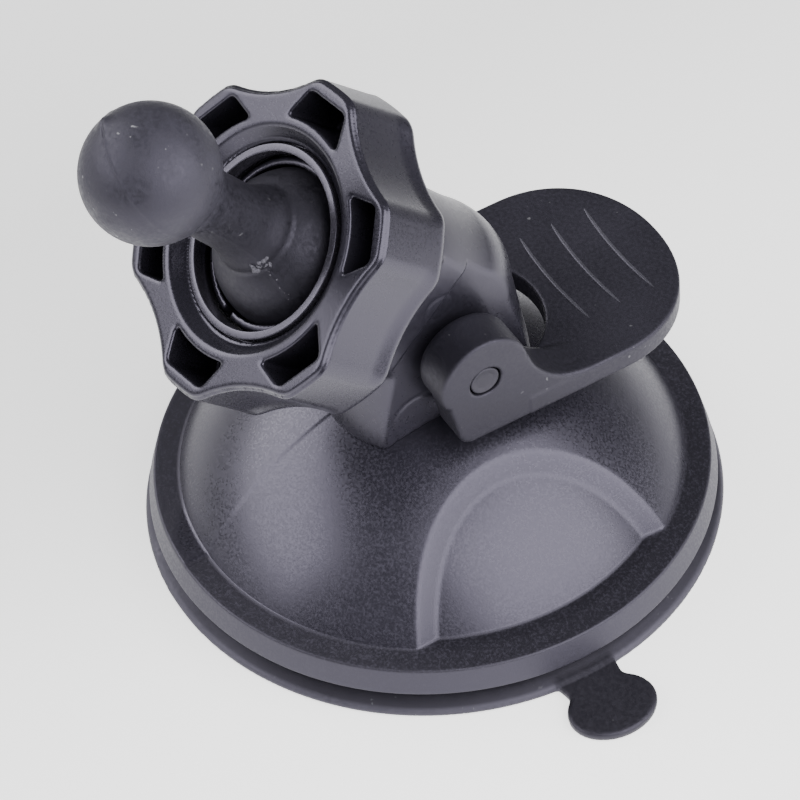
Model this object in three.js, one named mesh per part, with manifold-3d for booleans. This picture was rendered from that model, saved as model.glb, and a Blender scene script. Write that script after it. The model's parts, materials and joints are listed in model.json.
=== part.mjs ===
// Suction-cup ball mount: a rubber pad under a domed cover, a neck that leans forward and ends in a
// ball socket, a lobed nut that clamps the socket, and a lever that pulls the pad's middle up.
// Millimetres, +Z up. The origin is the middle of the pad on the surface that it sticks to. The neck
// leans towards -Y, the lever's flap points to +Y, and the pad's pull tab is on +X.

import * as THREE from 'three';
import { mergeVertices } from 'three/addons/utils/BufferGeometryUtils.js';
import Module from 'manifold-3d';

const wasm = await Module();
wasm.setup();

const rad = THREE.MathUtils.degToRad;
const GAP = 0.3;

// Cover: a flat rim round a spherical dome
const RIM_R = 35.5;
const RIM_INNER_R = 32.2;
const RIM_Z = 7.1;
const RIM_CHAMFER = 0.3;
const SKIRT_R = 36.4;
const SKIRT_Z = 3.5;
const SKIRT_INNER_R = 31;
const SKIRT_SHELF_Z = 5;
const HOLLOW_R = 29.6;
const WALL = 2.6;
const DOME_R = 38.7;
const DOME_CENTRE_Z = -14.2;
const GUIDE_R = 7;
const GUIDE_Z = 17.5;

// Scooped recess over the pull tab
const SCOOP_DEPTH = 1.5;
const SCOOP_X = 36.4;
const SCOOP_FOOT_R = 18.6;
const SCOOP_FOOT_Z = RIM_Z + 0.2;
const SCOOP_TOP_R = 20.4;
const SCOOP_TOP_Z = 25;

// Neck: a column on the Z axis that meets the socket's axis at the elbow
const ELBOW_Z = 38.6;
const LEAN = rad(46.1);
const FLAT_X = 8;
const SHOULDER_X = 8.7;
const SHOULDER_W = 5;
const FLARE_W = 9.5;
const COLUMN_FOOT_R = 13.3;
const COLUMN_FOOT_Z = 15;
const ELBOW_R = 11.5;
const NECK_R = 12.4;

// Socket and the stud's inner ball, by their distance along the socket's axis from the elbow
const BALL_W = 22.6;
const INNER_BALL_R = 10.2;
const CAVITY_R = INNER_BALL_R + GAP;
const COLLET_R = 12.9;
const COLLET_W = 17.2;
const COLLET_TIP_R = 10.6;
const COLLET_TIP_W = 26.6;
const COLLET_TAPER_W = 20.5;
const SLOT_WIDTH = 1.4;
const SLOT_START_W = 19.5;

// Clamp nut
const NUT_FACE_W = 30.1;
const NUT_REAR_W = 17.6;
const LOBES = 6;
const LOBE_R = 20.75;
const LOBE_HALF = rad(10.4);
const LOBE_PHASE = rad(39.5);
const VALLEY_R = 18.15;
const NUT_BEVEL = 0.4;
const NUT_BORE_R = 13.4;
const WEB_R = 12.2;
const WEB_REAR_W = 27.2;
const WEB_FRONT_W = 28.4;
const MOUTH_R = 14;
const POCKET_DEPTH = 8.6;

// Pressure ring: a flange behind the nut's web and a thinner lip that stands out through it
const RING_BORE_R = 11;
const RING_LIP_R = 11.9;
const RING_FLANGE_R = 13.1;
const RING_REAR_W = 24.9;
const RING_FLANGE_W = 26.9;
const RING_FRONT_W = 28.9;

// Ball stud
const OUTER_BALL_R = 8.5;
const STUD_LENGTH = 29.4;
const STUD_LEAN = rad(37.3);
const STEM_R = 4.3;
const STEM_ROOT_R = 5.45;
const STEM_TIP_R = 4.9;

// Lever, its pin and the plunger
const PIN_Z = 35.2;
const PIN_R = 2;
const PIN_HALF = 15.3;
const PIN_PATH_R = PIN_R + 0.35;
const EAR_HOLE_R = PIN_R + 0.2;
const PLUNGER_HOLE_R = PIN_R + 0.15;
const EAR_INNER_X = 9.2;
const EAR_OUTER_X = 15.5;
const FLAP_BOTTOM_Z = 25.6;
const FLAP_TOP_Z = 28.8;
const FLAP_ROUND_Y = 20;
const FLAP_END_Y = 34.2;
const CUTOUT_Y = 6;
const CUTOUT_R = 10;
const STEM_BORE_R = 4.8;
const PLUNGER_R = 4.5;
const PLUNGER_TOP_Z = 39.6;
const STROKE = 2.9;
const FLANGE_R = 12;
const FLANGE_Z = 7.4;
const FLANGE_THICK = 1.6;

// Spring and pad
const SPRING_R = 8.8;
const SPRING_TOP_Z = 20.3;
const WIRE_R = 0.6;
const SPRING_TURNS = 4;
const PAD_R = 37.1;
const PAD_EDGE = 0.9;
const PAD_SEAT_R = 29;
const TAB_ROOT_X = 34;
const TAB_X = 42.8;
const TAB_HALF_X = 4.7;
const TAB_HALF_Y = 5.9;
const TAB_NECK_HALF = 3.7;
const TAB_THICK = 1.3;

const Y_UP_TO_Z_UP = new THREE.Matrix4().makeRotationX(Math.PI / 2);

// A closed geometry as a solid that can be joined and cut
function solid(geometry) {
  const g = geometry.clone();
  g.deleteAttribute('normal');
  g.deleteAttribute('uv');
  const merged = mergeVertices(g, 1e-4);
  const vertProperties = new Float32Array(merged.attributes.position.array);
  const triVerts = new Uint32Array(merged.index.array);
  return new wasm.Manifold(new wasm.Mesh({ numProp: 3, vertProperties, triVerts }));
}

function geometryOf(manifold) {
  const mesh = manifold.getMesh();
  const g = new THREE.BufferGeometry();
  g.setAttribute('position', new THREE.BufferAttribute(new Float32Array(mesh.vertProperties), 3));
  g.setIndex(new THREE.BufferAttribute(new Uint32Array(mesh.triVerts), 1));
  return g;
}

// A ring or disc turned about Z from [radius, height] points that close on themselves or on the axis
function turned(points, segments) {
  const closed = points.every(([r]) => r > 0) ? [...points, points[0]] : points;
  const profile = closed.map(([r, h]) => new THREE.Vector2(r, h));
  return new THREE.LatheGeometry(profile, segments).applyMatrix4(Y_UP_TO_Z_UP);
}

function rod(radius, low, high, segments) {
  return turned([[0, low], [radius, low], [radius, high], [0, high]], segments);
}

// A cylinder along X through the point (0, y, z)
function crossRod(radius, half, y, z, segments) {
  const g = new THREE.CylinderGeometry(radius, radius, 2 * half, segments);
  return g.rotateZ(Math.PI / 2).translate(0, y, z);
}

function block(x0, x1, y0, y1, z0, z1) {
  const g = new THREE.BoxGeometry(x1 - x0, y1 - y0, z1 - z0);
  return g.translate((x0 + x1) / 2, (y0 + y1) / 2, (z0 + z1) / 2);
}

// A flat outline in X and Y raised from z0 to z1
function raised(shape, z0, z1, curveSegments = 12) {
  const g = new THREE.ExtrudeGeometry(shape, { depth: z1 - z0, bevelEnabled: false, curveSegments });
  return g.translate(0, 0, z0);
}

// Points of an arc in a plane, from one angle to another
function arc(cx, cy, r, from, to, steps) {
  const points = [];
  for (let i = 0; i <= steps; i += 1) {
    const a = from + ((to - from) * i) / steps;
    points.push([cx + r * Math.cos(a), cy + r * Math.sin(a)]);
  }
  return points;
}

function outline(points) {
  return new THREE.Shape(points.map(([x, y]) => new THREE.Vector2(x, y)));
}

function piece(name, geometry, color, roughness, metalness = 0) {
  const mesh = new THREE.Mesh(geometry, new THREE.MeshStandardMaterial({ color, roughness, metalness }));
  mesh.name = name;
  return mesh;
}

// Meridian of the dome or of a sphere offset from it, as [radius, height] from outside in
function domeArc(radius, outerR, innerR, steps) {
  const from = Math.acos(outerR / radius);
  const to = Math.acos(innerR / radius);
  return arc(0, DOME_CENTRE_Z, radius, from, to, steps);
}

function makeCover() {
  const inner = DOME_R - WALL;
  const shell = turned([
    [SKIRT_R, SKIRT_Z],
    [RIM_R, RIM_Z - RIM_CHAMFER],
    [RIM_R - RIM_CHAMFER, RIM_Z],
    ...domeArc(DOME_R, RIM_INNER_R, STEM_BORE_R, 8),
    [STEM_BORE_R, GUIDE_Z],
    [GUIDE_R, GUIDE_Z],
    ...domeArc(inner, HOLLOW_R, GUIDE_R, 6).reverse(),
    [SKIRT_INNER_R, SKIRT_SHELF_Z],
    [SKIRT_INNER_R, SKIRT_Z],
  ], 56);
  const bowl = turned([
    [0, SCOOP_FOOT_Z],
    [SCOOP_FOOT_R, SCOOP_FOOT_Z],
    [SCOOP_TOP_R, SCOOP_TOP_Z],
    [0, SCOOP_TOP_Z],
  ], 40).translate(SCOOP_X, 0, 0);
  const floor = turned([
    [0, 0],
    ...domeArc(DOME_R - SCOOP_DEPTH, 34, 1, 12),
    [0, DOME_CENTRE_Z + DOME_R - SCOOP_DEPTH],
  ], 56);
  const scoop = solid(bowl).subtract(solid(floor));
  return piece('base_cover', geometryOf(solid(shell).subtract(scoop)), 0x2b2b30, 0.45);
}

// Local frame of the socket: its own Z runs from the elbow out along the nut's axis
const socketFrame = new THREE.Matrix4()
  .makeTranslation(0, 0, ELBOW_Z)
  .multiply(new THREE.Matrix4().makeRotationX(LEAN));

// Neck with its slotted, tapered socket, which springs round the stud's inner ball
function makeNeck() {
  const column = turned([
    [0, COLUMN_FOOT_Z],
    [COLUMN_FOOT_R, COLUMN_FOOT_Z],
    [COLUMN_FOOT_R, 24],
    [12.9, 28],
    [12.2, 33],
    [ELBOW_R, ELBOW_Z],
    [0, ELBOW_Z],
  ], 40);
  const elbow = new THREE.SphereGeometry(ELBOW_R, 40, 16).rotateX(Math.PI / 2).translate(0, 0, ELBOW_Z);
  const socket = turned([
    [0, 0],
    [ELBOW_R, 0],
    [NECK_R, 8],
    [NECK_R, COLLET_W - 0.5],
    [COLLET_R, COLLET_W],
    [COLLET_R, COLLET_TAPER_W],
    [COLLET_TIP_R, COLLET_TIP_W],
    [0, COLLET_TIP_W],
  ], 40).applyMatrix4(socketFrame);
  const sides = outline([
    [FLAT_X, -40],
    [FLAT_X, SHOULDER_W],
    [SHOULDER_X, SHOULDER_W],
    [SHOULDER_X, FLARE_W],
    [14, 15],
    [14, 40],
    [-14, 40],
    [-14, 15],
    [-SHOULDER_X, FLARE_W],
    [-SHOULDER_X, SHOULDER_W],
    [-FLAT_X, SHOULDER_W],
    [-FLAT_X, -40],
  ]);
  const slab = raised(sides, -60, 60).applyMatrix4(Y_UP_TO_Z_UP).applyMatrix4(socketFrame);
  const foot = new THREE.SphereGeometry(DOME_R + GAP, 48, 32).translate(0, 0, DOME_CENTRE_Z);
  const cavity = new THREE.SphereGeometry(CAVITY_R, 32, 20).translate(0, 0, BALL_W).applyMatrix4(socketFrame);
  const slotHeight = COLLET_TIP_W - SLOT_START_W + 1;
  const slotMiddle = SLOT_START_W + slotHeight / 2;
  const across = new THREE.BoxGeometry(40, SLOT_WIDTH, slotHeight).translate(0, 0, slotMiddle);
  const along = new THREE.BoxGeometry(SLOT_WIDTH, 40, slotHeight).translate(0, 0, slotMiddle);
  const lowZ = PIN_Z - STROKE - GAP;
  const neck = solid(column)
    .add(solid(elbow))
    .add(solid(socket))
    .intersect(solid(slab))
    .subtract(solid(foot))
    .subtract(solid(cavity))
    .subtract(solid(across.applyMatrix4(socketFrame)))
    .subtract(solid(along.applyMatrix4(socketFrame)))
    .subtract(solid(rod(STEM_BORE_R, 10, PLUNGER_TOP_Z + 0.5, 24)))
    .subtract(solid(crossRod(PIN_PATH_R, 20, 0, PIN_Z, 20)))
    .subtract(solid(crossRod(PIN_PATH_R, 20, 0, lowZ, 20)))
    .subtract(solid(block(-20, 20, -PIN_PATH_R, PIN_PATH_R, lowZ, PIN_Z)));
  return piece('neck_arm', geometryOf(neck), 0x2b2b30, 0.38);
}

// Outline of the nut: six nearly flat lobes with hollow flutes between them
function nutOutline(inset) {
  const points = [];
  const flutePoints = 6;
  for (let lobe = 0; lobe < LOBES; lobe += 1) {
    const centre = LOBE_PHASE + (lobe * 2 * Math.PI) / LOBES;
    for (const [turn, drop] of [[-1, 0.25], [-0.88, 0], [0.88, 0], [1, 0.25]]) {
      const a = centre + turn * LOBE_HALF;
      points.push([(LOBE_R - drop - inset) * Math.cos(a), (LOBE_R - drop - inset) * Math.sin(a)]);
    }
    const span = (2 * Math.PI) / LOBES - 2 * LOBE_HALF;
    for (let i = 1; i < flutePoints; i += 1) {
      const t = i / flutePoints;
      const dip = (LOBE_R - VALLEY_R) * Math.sin(Math.PI * t) ** 0.8;
      const a = centre + LOBE_HALF + span * t;
      points.push([(LOBE_R - dip - inset) * Math.cos(a), (LOBE_R - dip - inset) * Math.sin(a)]);
    }
  }
  return outline(points);
}

// One pocket in the nut's face, with its wide side towards the axis
function pocketShape(centre) {
  const corners = [[18.7, 2.6], [18.1, 3.5], [15.8, 4.7], [15.1, 4.2], [15.1, 0]];
  const half = corners.map(([u, v]) => [u, -v]).reverse().slice(1);
  const turn = ([u, v]) => [
    u * Math.cos(centre) - v * Math.sin(centre),
    u * Math.sin(centre) + v * Math.cos(centre),
  ];
  return outline([...corners, ...half].map(turn));
}

function makeNut() {
  let nut = solid(raised(nutOutline(0), NUT_REAR_W, NUT_FACE_W - 0.5))
    .add(solid(raised(nutOutline(NUT_BEVEL), NUT_FACE_W - 0.8, NUT_FACE_W)));
  const bore = turned([
    [0, NUT_REAR_W - 1],
    [NUT_BORE_R, NUT_REAR_W - 1],
    [NUT_BORE_R, WEB_REAR_W],
    [WEB_R, WEB_REAR_W],
    [WEB_R, WEB_FRONT_W],
    [WEB_R + 0.4, WEB_FRONT_W],
    [MOUTH_R, NUT_FACE_W],
    [MOUTH_R, NUT_FACE_W + 1],
    [0, NUT_FACE_W + 1],
  ], 48);
  nut = nut.subtract(solid(bore));
  for (let lobe = 0; lobe < LOBES; lobe += 1) {
    const centre = LOBE_PHASE + (lobe * 2 * Math.PI) / LOBES;
    const pocket = raised(pocketShape(centre), NUT_FACE_W - POCKET_DEPTH, NUT_FACE_W + 1);
    nut = nut.subtract(solid(pocket));
  }
  return piece('clamp_nut', geometryOf(nut), 0x2a2a2f, 0.36);
}

function makePressureRing() {
  const ring = turned([
    [RING_BORE_R + 0.75, RING_REAR_W],
    [RING_FLANGE_R, RING_REAR_W],
    [RING_FLANGE_R, RING_FLANGE_W],
    [RING_LIP_R, RING_FLANGE_W],
    [RING_LIP_R, RING_FRONT_W - 0.3],
    [(RING_BORE_R + RING_LIP_R) / 2, RING_FRONT_W],
    [RING_BORE_R, RING_FRONT_W - 0.3],
    [RING_BORE_R, RING_FLANGE_W],
  ], 44);
  return piece('pressure_ring', ring, 0x34343a, 0.28);
}

// Meridian of a ball on the stud's axis, as [radius, height], by the angle from its lowest point
function ballArc(centre, radius, from, to) {
  const steps = 10;
  const points = [];
  for (let i = 0; i <= steps; i += 1) {
    const a = from + ((to - from) * i) / steps;
    points.push([Math.max(0, radius * Math.sin(a)), centre - radius * Math.cos(a)]);
  }
  return points;
}

function makeStud() {
  const stud = turned([
    ...ballArc(0, INNER_BALL_R, 0, Math.PI - Math.asin(STEM_ROOT_R / INNER_BALL_R)),
    [4.9, 9.9],
    [4.5, 12.4],
    [STEM_R, 16],
    [4.45, 20],
    ...ballArc(STUD_LENGTH, OUTER_BALL_R, Math.asin(STEM_TIP_R / OUTER_BALL_R), Math.PI),
  ], 28);
  return piece('ball_stud', stud, 0x232326, 0.6);
}

// Side view of an ear, as [y, z]: a flat foot over the dome, a slanted front and a round top
function earOutline() {
  return outline([
    [-2.4, FLAP_BOTTOM_Z],
    [-3.6, 26.3],
    [-4.9, 31.2],
    [-6.1, 35.2],
    ...arc(-0.1, 35.8, 6.1, Math.PI, rad(20), 9),
    [7.6, 32.7],
    [9.2, 30.7],
    [11.6, 29.3],
    [14.6, FLAP_TOP_Z],
    [FLAP_ROUND_Y + 1, FLAP_TOP_Z],
    [FLAP_ROUND_Y + 1, FLAP_BOTTOM_Z],
  ]);
}

function makeLever() {
  const round = FLAP_END_Y - FLAP_ROUND_Y;
  const end = [];
  for (let i = 0; i <= 20; i += 1) {
    const a = (Math.PI * i) / 20;
    end.push([EAR_OUTER_X * Math.cos(a), FLAP_ROUND_Y + round * Math.sin(a)]);
  }
  const plate = outline([[EAR_OUTER_X, CUTOUT_Y], ...end, [-EAR_OUTER_X, CUTOUT_Y]]);
  const earWidth = EAR_OUTER_X - EAR_INNER_X;
  // the ear's outline is drawn in Y and Z and raised along X
  const upright = new THREE.Matrix4().makeBasis(
    new THREE.Vector3(0, 1, 0),
    new THREE.Vector3(0, 0, 1),
    new THREE.Vector3(1, 0, 0),
  );
  const ear = raised(earOutline(), 0, earWidth).applyMatrix4(upright);
  const cutout = rod(CUTOUT_R, 0, 60, 40).translate(0, CUTOUT_Y, 0);
  const between = block(-EAR_INNER_X, EAR_INNER_X, -20, 30, 0, 60);
  const hole = crossRod(EAR_HOLE_R, 30, 0, PIN_Z, 20);
  const lever = solid(raised(plate, FLAP_BOTTOM_Z, FLAP_TOP_Z))
    .subtract(solid(cutout).intersect(solid(between)))
    .add(solid(ear.clone().translate(EAR_INNER_X, 0, 0)))
    .add(solid(ear.clone().translate(-EAR_OUTER_X, 0, 0)))
    .subtract(solid(hole));
  return piece('lever', geometryOf(lever), 0x28282c, 0.5);
}

function makePin() {
  return piece('lever_pin', crossRod(PIN_R, PIN_HALF, 0, PIN_Z, 24), 0x3a3a40, 0.35, 0.6);
}

function makePlunger() {
  const top = FLANGE_Z + FLANGE_THICK;
  const stem = turned([
    [0, FLANGE_Z],
    [FLANGE_R, FLANGE_Z],
    [FLANGE_R, top],
    [PLUNGER_R, top],
    [PLUNGER_R, PLUNGER_TOP_Z],
    [0, PLUNGER_TOP_Z],
  ], 32);
  const hole = crossRod(PLUNGER_HOLE_R, 10, 0, PIN_Z, 20);
  return piece('plunger', geometryOf(solid(stem).subtract(solid(hole))), 0x3b3b3f, 0.55);
}

// A coil spring round the plunger, between its flange and the underside of the cover
function makeSpring() {
  const low = FLANGE_Z + FLANGE_THICK + GAP + WIRE_R;
  const high = SPRING_TOP_Z - WIRE_R;
  class Helix extends THREE.Curve {
    getPoint(t, target = new THREE.Vector3()) {
      const a = t * SPRING_TURNS * 2 * Math.PI;
      return target.set(SPRING_R * Math.cos(a), SPRING_R * Math.sin(a), low + (high - low) * t);
    }
  }
  const wire = new THREE.Shape();
  wire.absarc(0, 0, WIRE_R, 0, 2 * Math.PI);
  const steps = SPRING_TURNS * 16;
  const spring = new THREE.ExtrudeGeometry(wire, { steps, extrudePath: new Helix(), curveSegments: 3 });
  return piece('return_spring', spring, 0x9a9aa0, 0.3, 0.9);
}

function makePad() {
  const disc = turned([
    [0, 3.4],
    [13, 3.4],
    [24, 1.6],
    [PAD_SEAT_R, 0],
    [PAD_R, 0],
    [PAD_R, PAD_EDGE],
    [35.6, 1.6],
    [33.2, 2.6],
    [31, 3.1],
    [14, FLANGE_Z - GAP],
    [0, FLANGE_Z - GAP],
  ], 56);
  const tongue = new THREE.Shape();
  tongue.moveTo(TAB_ROOT_X, -TAB_NECK_HALF);
  tongue.lineTo(TAB_X, -TAB_NECK_HALF);
  tongue.lineTo(TAB_X, TAB_NECK_HALF);
  tongue.lineTo(TAB_ROOT_X, TAB_NECK_HALF);
  tongue.closePath();
  const oval = new THREE.Shape();
  oval.absellipse(TAB_X, 0, TAB_HALF_X, TAB_HALF_Y, 0, 2 * Math.PI);
  const pad = solid(disc)
    .add(solid(raised(tongue, 0, TAB_THICK)))
    .add(solid(raised(oval, 0, TAB_THICK)));
  return piece('suction_pad', geometryOf(pad), 0x1f1f21, 0.75);
}

const socketGroup = new THREE.Group();
socketGroup.position.set(0, 0, ELBOW_Z);
socketGroup.rotation.x = LEAN;
socketGroup.add(makePressureRing(), makeNut());

const studGroup = new THREE.Group();
studGroup.position.set(0, -BALL_W * Math.sin(LEAN), ELBOW_Z + BALL_W * Math.cos(LEAN));
studGroup.rotation.x = STUD_LEAN;
studGroup.add(makeStud());

const group = new THREE.Group();
group.add(makeCover(), makeNeck(), makeLever(), makePin(), makePlunger(), makeSpring(), makePad());
group.add(socketGroup, studGroup);

export default group;
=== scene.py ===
"""Looks for the suction-cup ball mount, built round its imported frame.

Shapes are worked out in millimetres and turned into metres when a mesh is made. A shape is either turned
from a profile, or the surface where a field of signed distances is zero.
"""

import itertools
import json
import math

import bmesh
import bpy
import numpy as np
from mathutils import Matrix, Vector


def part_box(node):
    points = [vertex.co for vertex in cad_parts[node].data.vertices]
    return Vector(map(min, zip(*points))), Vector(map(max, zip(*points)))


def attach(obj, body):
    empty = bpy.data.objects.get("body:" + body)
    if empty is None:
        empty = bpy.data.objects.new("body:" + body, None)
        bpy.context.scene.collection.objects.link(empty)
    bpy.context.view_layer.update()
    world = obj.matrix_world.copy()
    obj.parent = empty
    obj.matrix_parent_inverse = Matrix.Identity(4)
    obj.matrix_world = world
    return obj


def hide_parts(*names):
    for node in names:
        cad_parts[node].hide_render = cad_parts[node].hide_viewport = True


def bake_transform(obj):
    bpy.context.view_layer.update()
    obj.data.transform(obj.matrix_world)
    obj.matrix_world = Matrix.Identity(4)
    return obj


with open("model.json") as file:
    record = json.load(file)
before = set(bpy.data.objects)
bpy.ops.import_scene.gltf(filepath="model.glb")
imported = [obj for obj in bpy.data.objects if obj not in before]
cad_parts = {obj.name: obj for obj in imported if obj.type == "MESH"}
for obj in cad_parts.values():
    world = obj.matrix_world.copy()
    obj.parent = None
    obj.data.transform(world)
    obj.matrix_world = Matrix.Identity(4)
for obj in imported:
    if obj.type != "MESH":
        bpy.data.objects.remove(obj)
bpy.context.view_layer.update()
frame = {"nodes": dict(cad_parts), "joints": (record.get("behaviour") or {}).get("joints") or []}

MM = 0.001
joints = {joint["name"]: joint for joint in frame["joints"]}

# The socket's axis runs from the elbow, on the neck's own axis, through the stud's inner ball.
socket_axis = Vector(joints["nut_turn"]["axis"])
ball_centre = Vector(joints["stud_tilt"]["pos_m"]) / MM
elbow = ball_centre - socket_axis * (ball_centre.y / socket_axis.y)
BALL_W = (ball_centre - elbow).length
PIN_Z = joints["lever_hinge"]["pos_m"][2] / MM

# Colours
CHARCOAL = (0.0105, 0.0098, 0.0138)
VIOLET_SHEEN = (0.83, 0.78, 1.0, 1.0)
DUST = (0.30, 0.30, 0.31, 1.0)

# Cover
DOME_R = 38.7
DOME_Z = -14.2
DOME_WALL = 2.6
RIM_R = 35.5
RIM_Z = 7.1
RIM_INNER_R = 32.2
SKIRT_R = 36.4
SKIRT_INNER_R = 31.0
SKIRT_Z = 3.5
SKIRT_SHELF_Z = 5.0
BORE_R = 4.8
BOSS_R = 7.0
BOSS_Z = 17.5
SCOOP_DEPTH = 1.5
SCOOP_WALL = 2.4
SCOOP_X = 36.5
SCOOP_R = 20.5
SCOOP_FLOOR_R = 29.0
PARTING_STEP = 0.09
RIM_PARTING_STEP = 0.14

# Neck. Here and below, a name that ends in _W is a distance along the socket's axis from the elbow.
FLAT_X = 8.0
SHOULDER_X = 8.7
SHOULDER_W = 4.95
ELBOW_R = 11.5
COLUMN_TAPER = math.radians(9.2)
COLUMN_FOOT_Z = 22.0
COLUMN_FLARE = 1.9
BACK_SWELLING = 0.5
STEM_BORE_Z = 40.1
PIN_PATH = 3.3
PIN_PATH_GAP = 0.35
SOCKET_FLARE = 0.9
SOCKET_STEP = 0.5
SOCKET_STEP_W = 16.7
SLOT_W = 19.5
SLOT_HALF = 0.7
FINGER_W = 20.5
FINGER_TAPER = 0.377
FINGER_TIP_W = 26.6
CAVITY_R = 10.5
MARK_DEPTH = 0.10

# Clamp nut
NUT_FACE_W = 30.1
NUT_REAR_W = 17.65
NUT_R = 20.9
NUT_BEVEL = 1.2
NUT_FACE_STEP = 0.30
LOBE_STEP = math.radians(60)
LOBE_PHASE = math.radians(39.5)
LOBE_OFFSET = 10.0
LOBE_R = 30.7
FLUTE_REACH = 38.15
FLUTE_R = 20.0
FLUTE_FLARE = 0.6
COLLAR_R = 17.2
COLLAR_W = 24.0
NUT_BORE_R = 13.4
NUT_BORE_W = 27.2
WEB_R = 12.2
MOUTH_R = 12.6
MOUTH_W = 28.4
MOUTH_FLARE = 1.4 / 1.7
MOUTH_COS = 0.77
POCKET_U = 18.75
POCKET_INNER_R = 15.2
POCKET_SIDE = (0.31, 0.951)
POCKET_SIDE_REACH = 9.07
POCKET_DEPTH = 8.6

# Pressure ring
RING_R = 13.1
RING_BACK_W = 24.9
RING_STEP_W = 26.9
RING_FACE_W = 28.9
RING_BORE_R = 10.95
RING_LIP_R = 11.95

# Ball stud, from the middle of the inner ball to the middle of the outer one
OUTER_BALL_R = 8.5
INNER_BALL_R = 10.15
stud_box = [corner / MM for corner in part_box("ball_stud")]
outer_ball = Vector((0, stud_box[0].y + OUTER_BALL_R, stud_box[1].z - OUTER_BALL_R))
stud_axis = (outer_ball - ball_centre).normalized()
STUD_LENGTH = (outer_ball - ball_centre).length
STEM_R = 4.3
STEM_START = 9.0
STEM_LENGTH = 12.2
STEM_ROOT_R = 5.6
STEM_TIP_R = 4.9
SEAM_ANGLE = math.radians(-20)
SEAM_HEIGHT = 0.07
SEAM_WIDTH = 0.16
GATE_OFFSET = 4.3
GATE_HEIGHT = 0.45
SWELLING_Z = 9.3
SWELLING_HEIGHT = 0.35
SCRATCH_DEPTH = 0.2
SCRATCH_WIDTH = 0.14

# Lever
EAR_INNER_X = 9.2
EAR_OUTER_X = 15.5
EAR_TOP_Z = 35.6
EAR_TOP_R = 6.15
EAR_STEP_Z = 33.1
EAR_FRONT_Y = -3.7
EAR_FRONT_NORMAL = (-7.8, -1.6)
HOLLOW_Y = 15.4
HOLLOW_Z = 38.1
HOLLOW_R = 9.3
WEB_TOP_Z = 36.0
FLAP_BOTTOM_Z = 25.6
FLAP_TOP_Z = 28.8
FLAP_HALF_X = EAR_OUTER_X + 0.05
FLAP_CURVE_Y = 20.0
FLAP_CURVE_REACH = 14.45
FLAP_CURVE_POWER = 2.12
CUTOUT_Y = 6.0
CUTOUT_R = 10.0
PIN_R = 2.0
PIN_HALF = 15.35
PIN_HOLE_GAP = 0.22
RIB_HALF = 8.6
RIB_HALF_WIDTH = 0.3
RIB_HEIGHT = 0.24

# Pad, with its top and its underside as (radius, height)
PAD_R = 37.1
PAD_TOP = ((0, 7.1), (14, 7.1), (31, 3.1), (33.2, 2.5), (35.6, 1.5), (PAD_R + 1, 0.5))
PAD_BOTTOM = ((0, 3.4), (13, 3.4), (24, 1.6), (29, 0.0))
TAB_X = 42.8
TAB_HALF_X = 4.66
TAB_HALF_Y = 5.86
TAB_MIDDLE_Z = 0.65
TAB_HALF_Z = 0.62

# Return spring
WIRE_R = 0.58
COIL_R = 8.8
COILS = 4


# ---------------------------------------------------------------- shape helpers

def smooth_max(a, b, k):
    """The larger of a and b, with the edge between them rounded over about k."""
    h = np.maximum(k - np.abs(a - b), 0.0)
    return np.maximum(a, b) + h * h / (4.0 * k)


def smooth_min(a, b, k):
    """The smaller of a and b, with the corner between them filled in over about k."""
    return -smooth_max(-a, -b, k)


def ramp(value, start, end):
    """0 before start, 1 after end, and a smooth rise between them."""
    t = np.clip((value - start) / (end - start), 0.0, 1.0)
    return t * t * (3.0 - 2.0 * t)


def ring_mark(across, along, radius, width):
    """1 on a ring of that radius about (0, 0), falling to 0 within width."""
    return np.exp(-(((np.hypot(across, along) - radius) / width) ** 2))


def along_axis(origin, axis):
    """Matrix from millimetres in a turned frame, with its Z along axis and its X along X, to metres."""
    z = axis.normalized()
    x = Vector((1, 0, 0))
    y = z.cross(x)
    turn = Matrix((x, y, z)).transposed().to_4x4()
    return Matrix.Scale(MM, 4) @ Matrix.Translation(origin) @ turn


WORLD = Matrix.Scale(MM, 4)
SOCKET = along_axis(elbow, socket_axis)
STUD = along_axis(ball_centre, stud_axis)


def make_piece(name, points, faces, place, body, materials, replaces=()):
    """A smooth-shaded mesh of points in millimetres in place's frame. It rides on body, if one is named."""
    points = np.asarray(points, dtype=float)
    world = points @ np.array(place.to_3x3()).T + np.array(place.translation)
    mesh = bpy.data.meshes.new(name)
    mesh.from_pydata(world.tolist(), [], faces)
    mesh.shade_smooth()
    for material in materials:
        mesh.materials.append(material)
    piece = bpy.data.objects.new(name, mesh)
    bpy.context.scene.collection.objects.link(piece)
    if body:
        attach(piece, body)
    if replaces:
        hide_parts(*replaces)
    return piece


def slopes(field, points, reach=0.02):
    """The field's gradient at points."""
    columns = []
    for axis in range(3):
        step = np.zeros(3)
        step[axis] = reach
        columns.append(field(*(points + step).T) - field(*(points - step).T))
    return np.stack(columns, axis=1) / (2.0 * reach)


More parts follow.
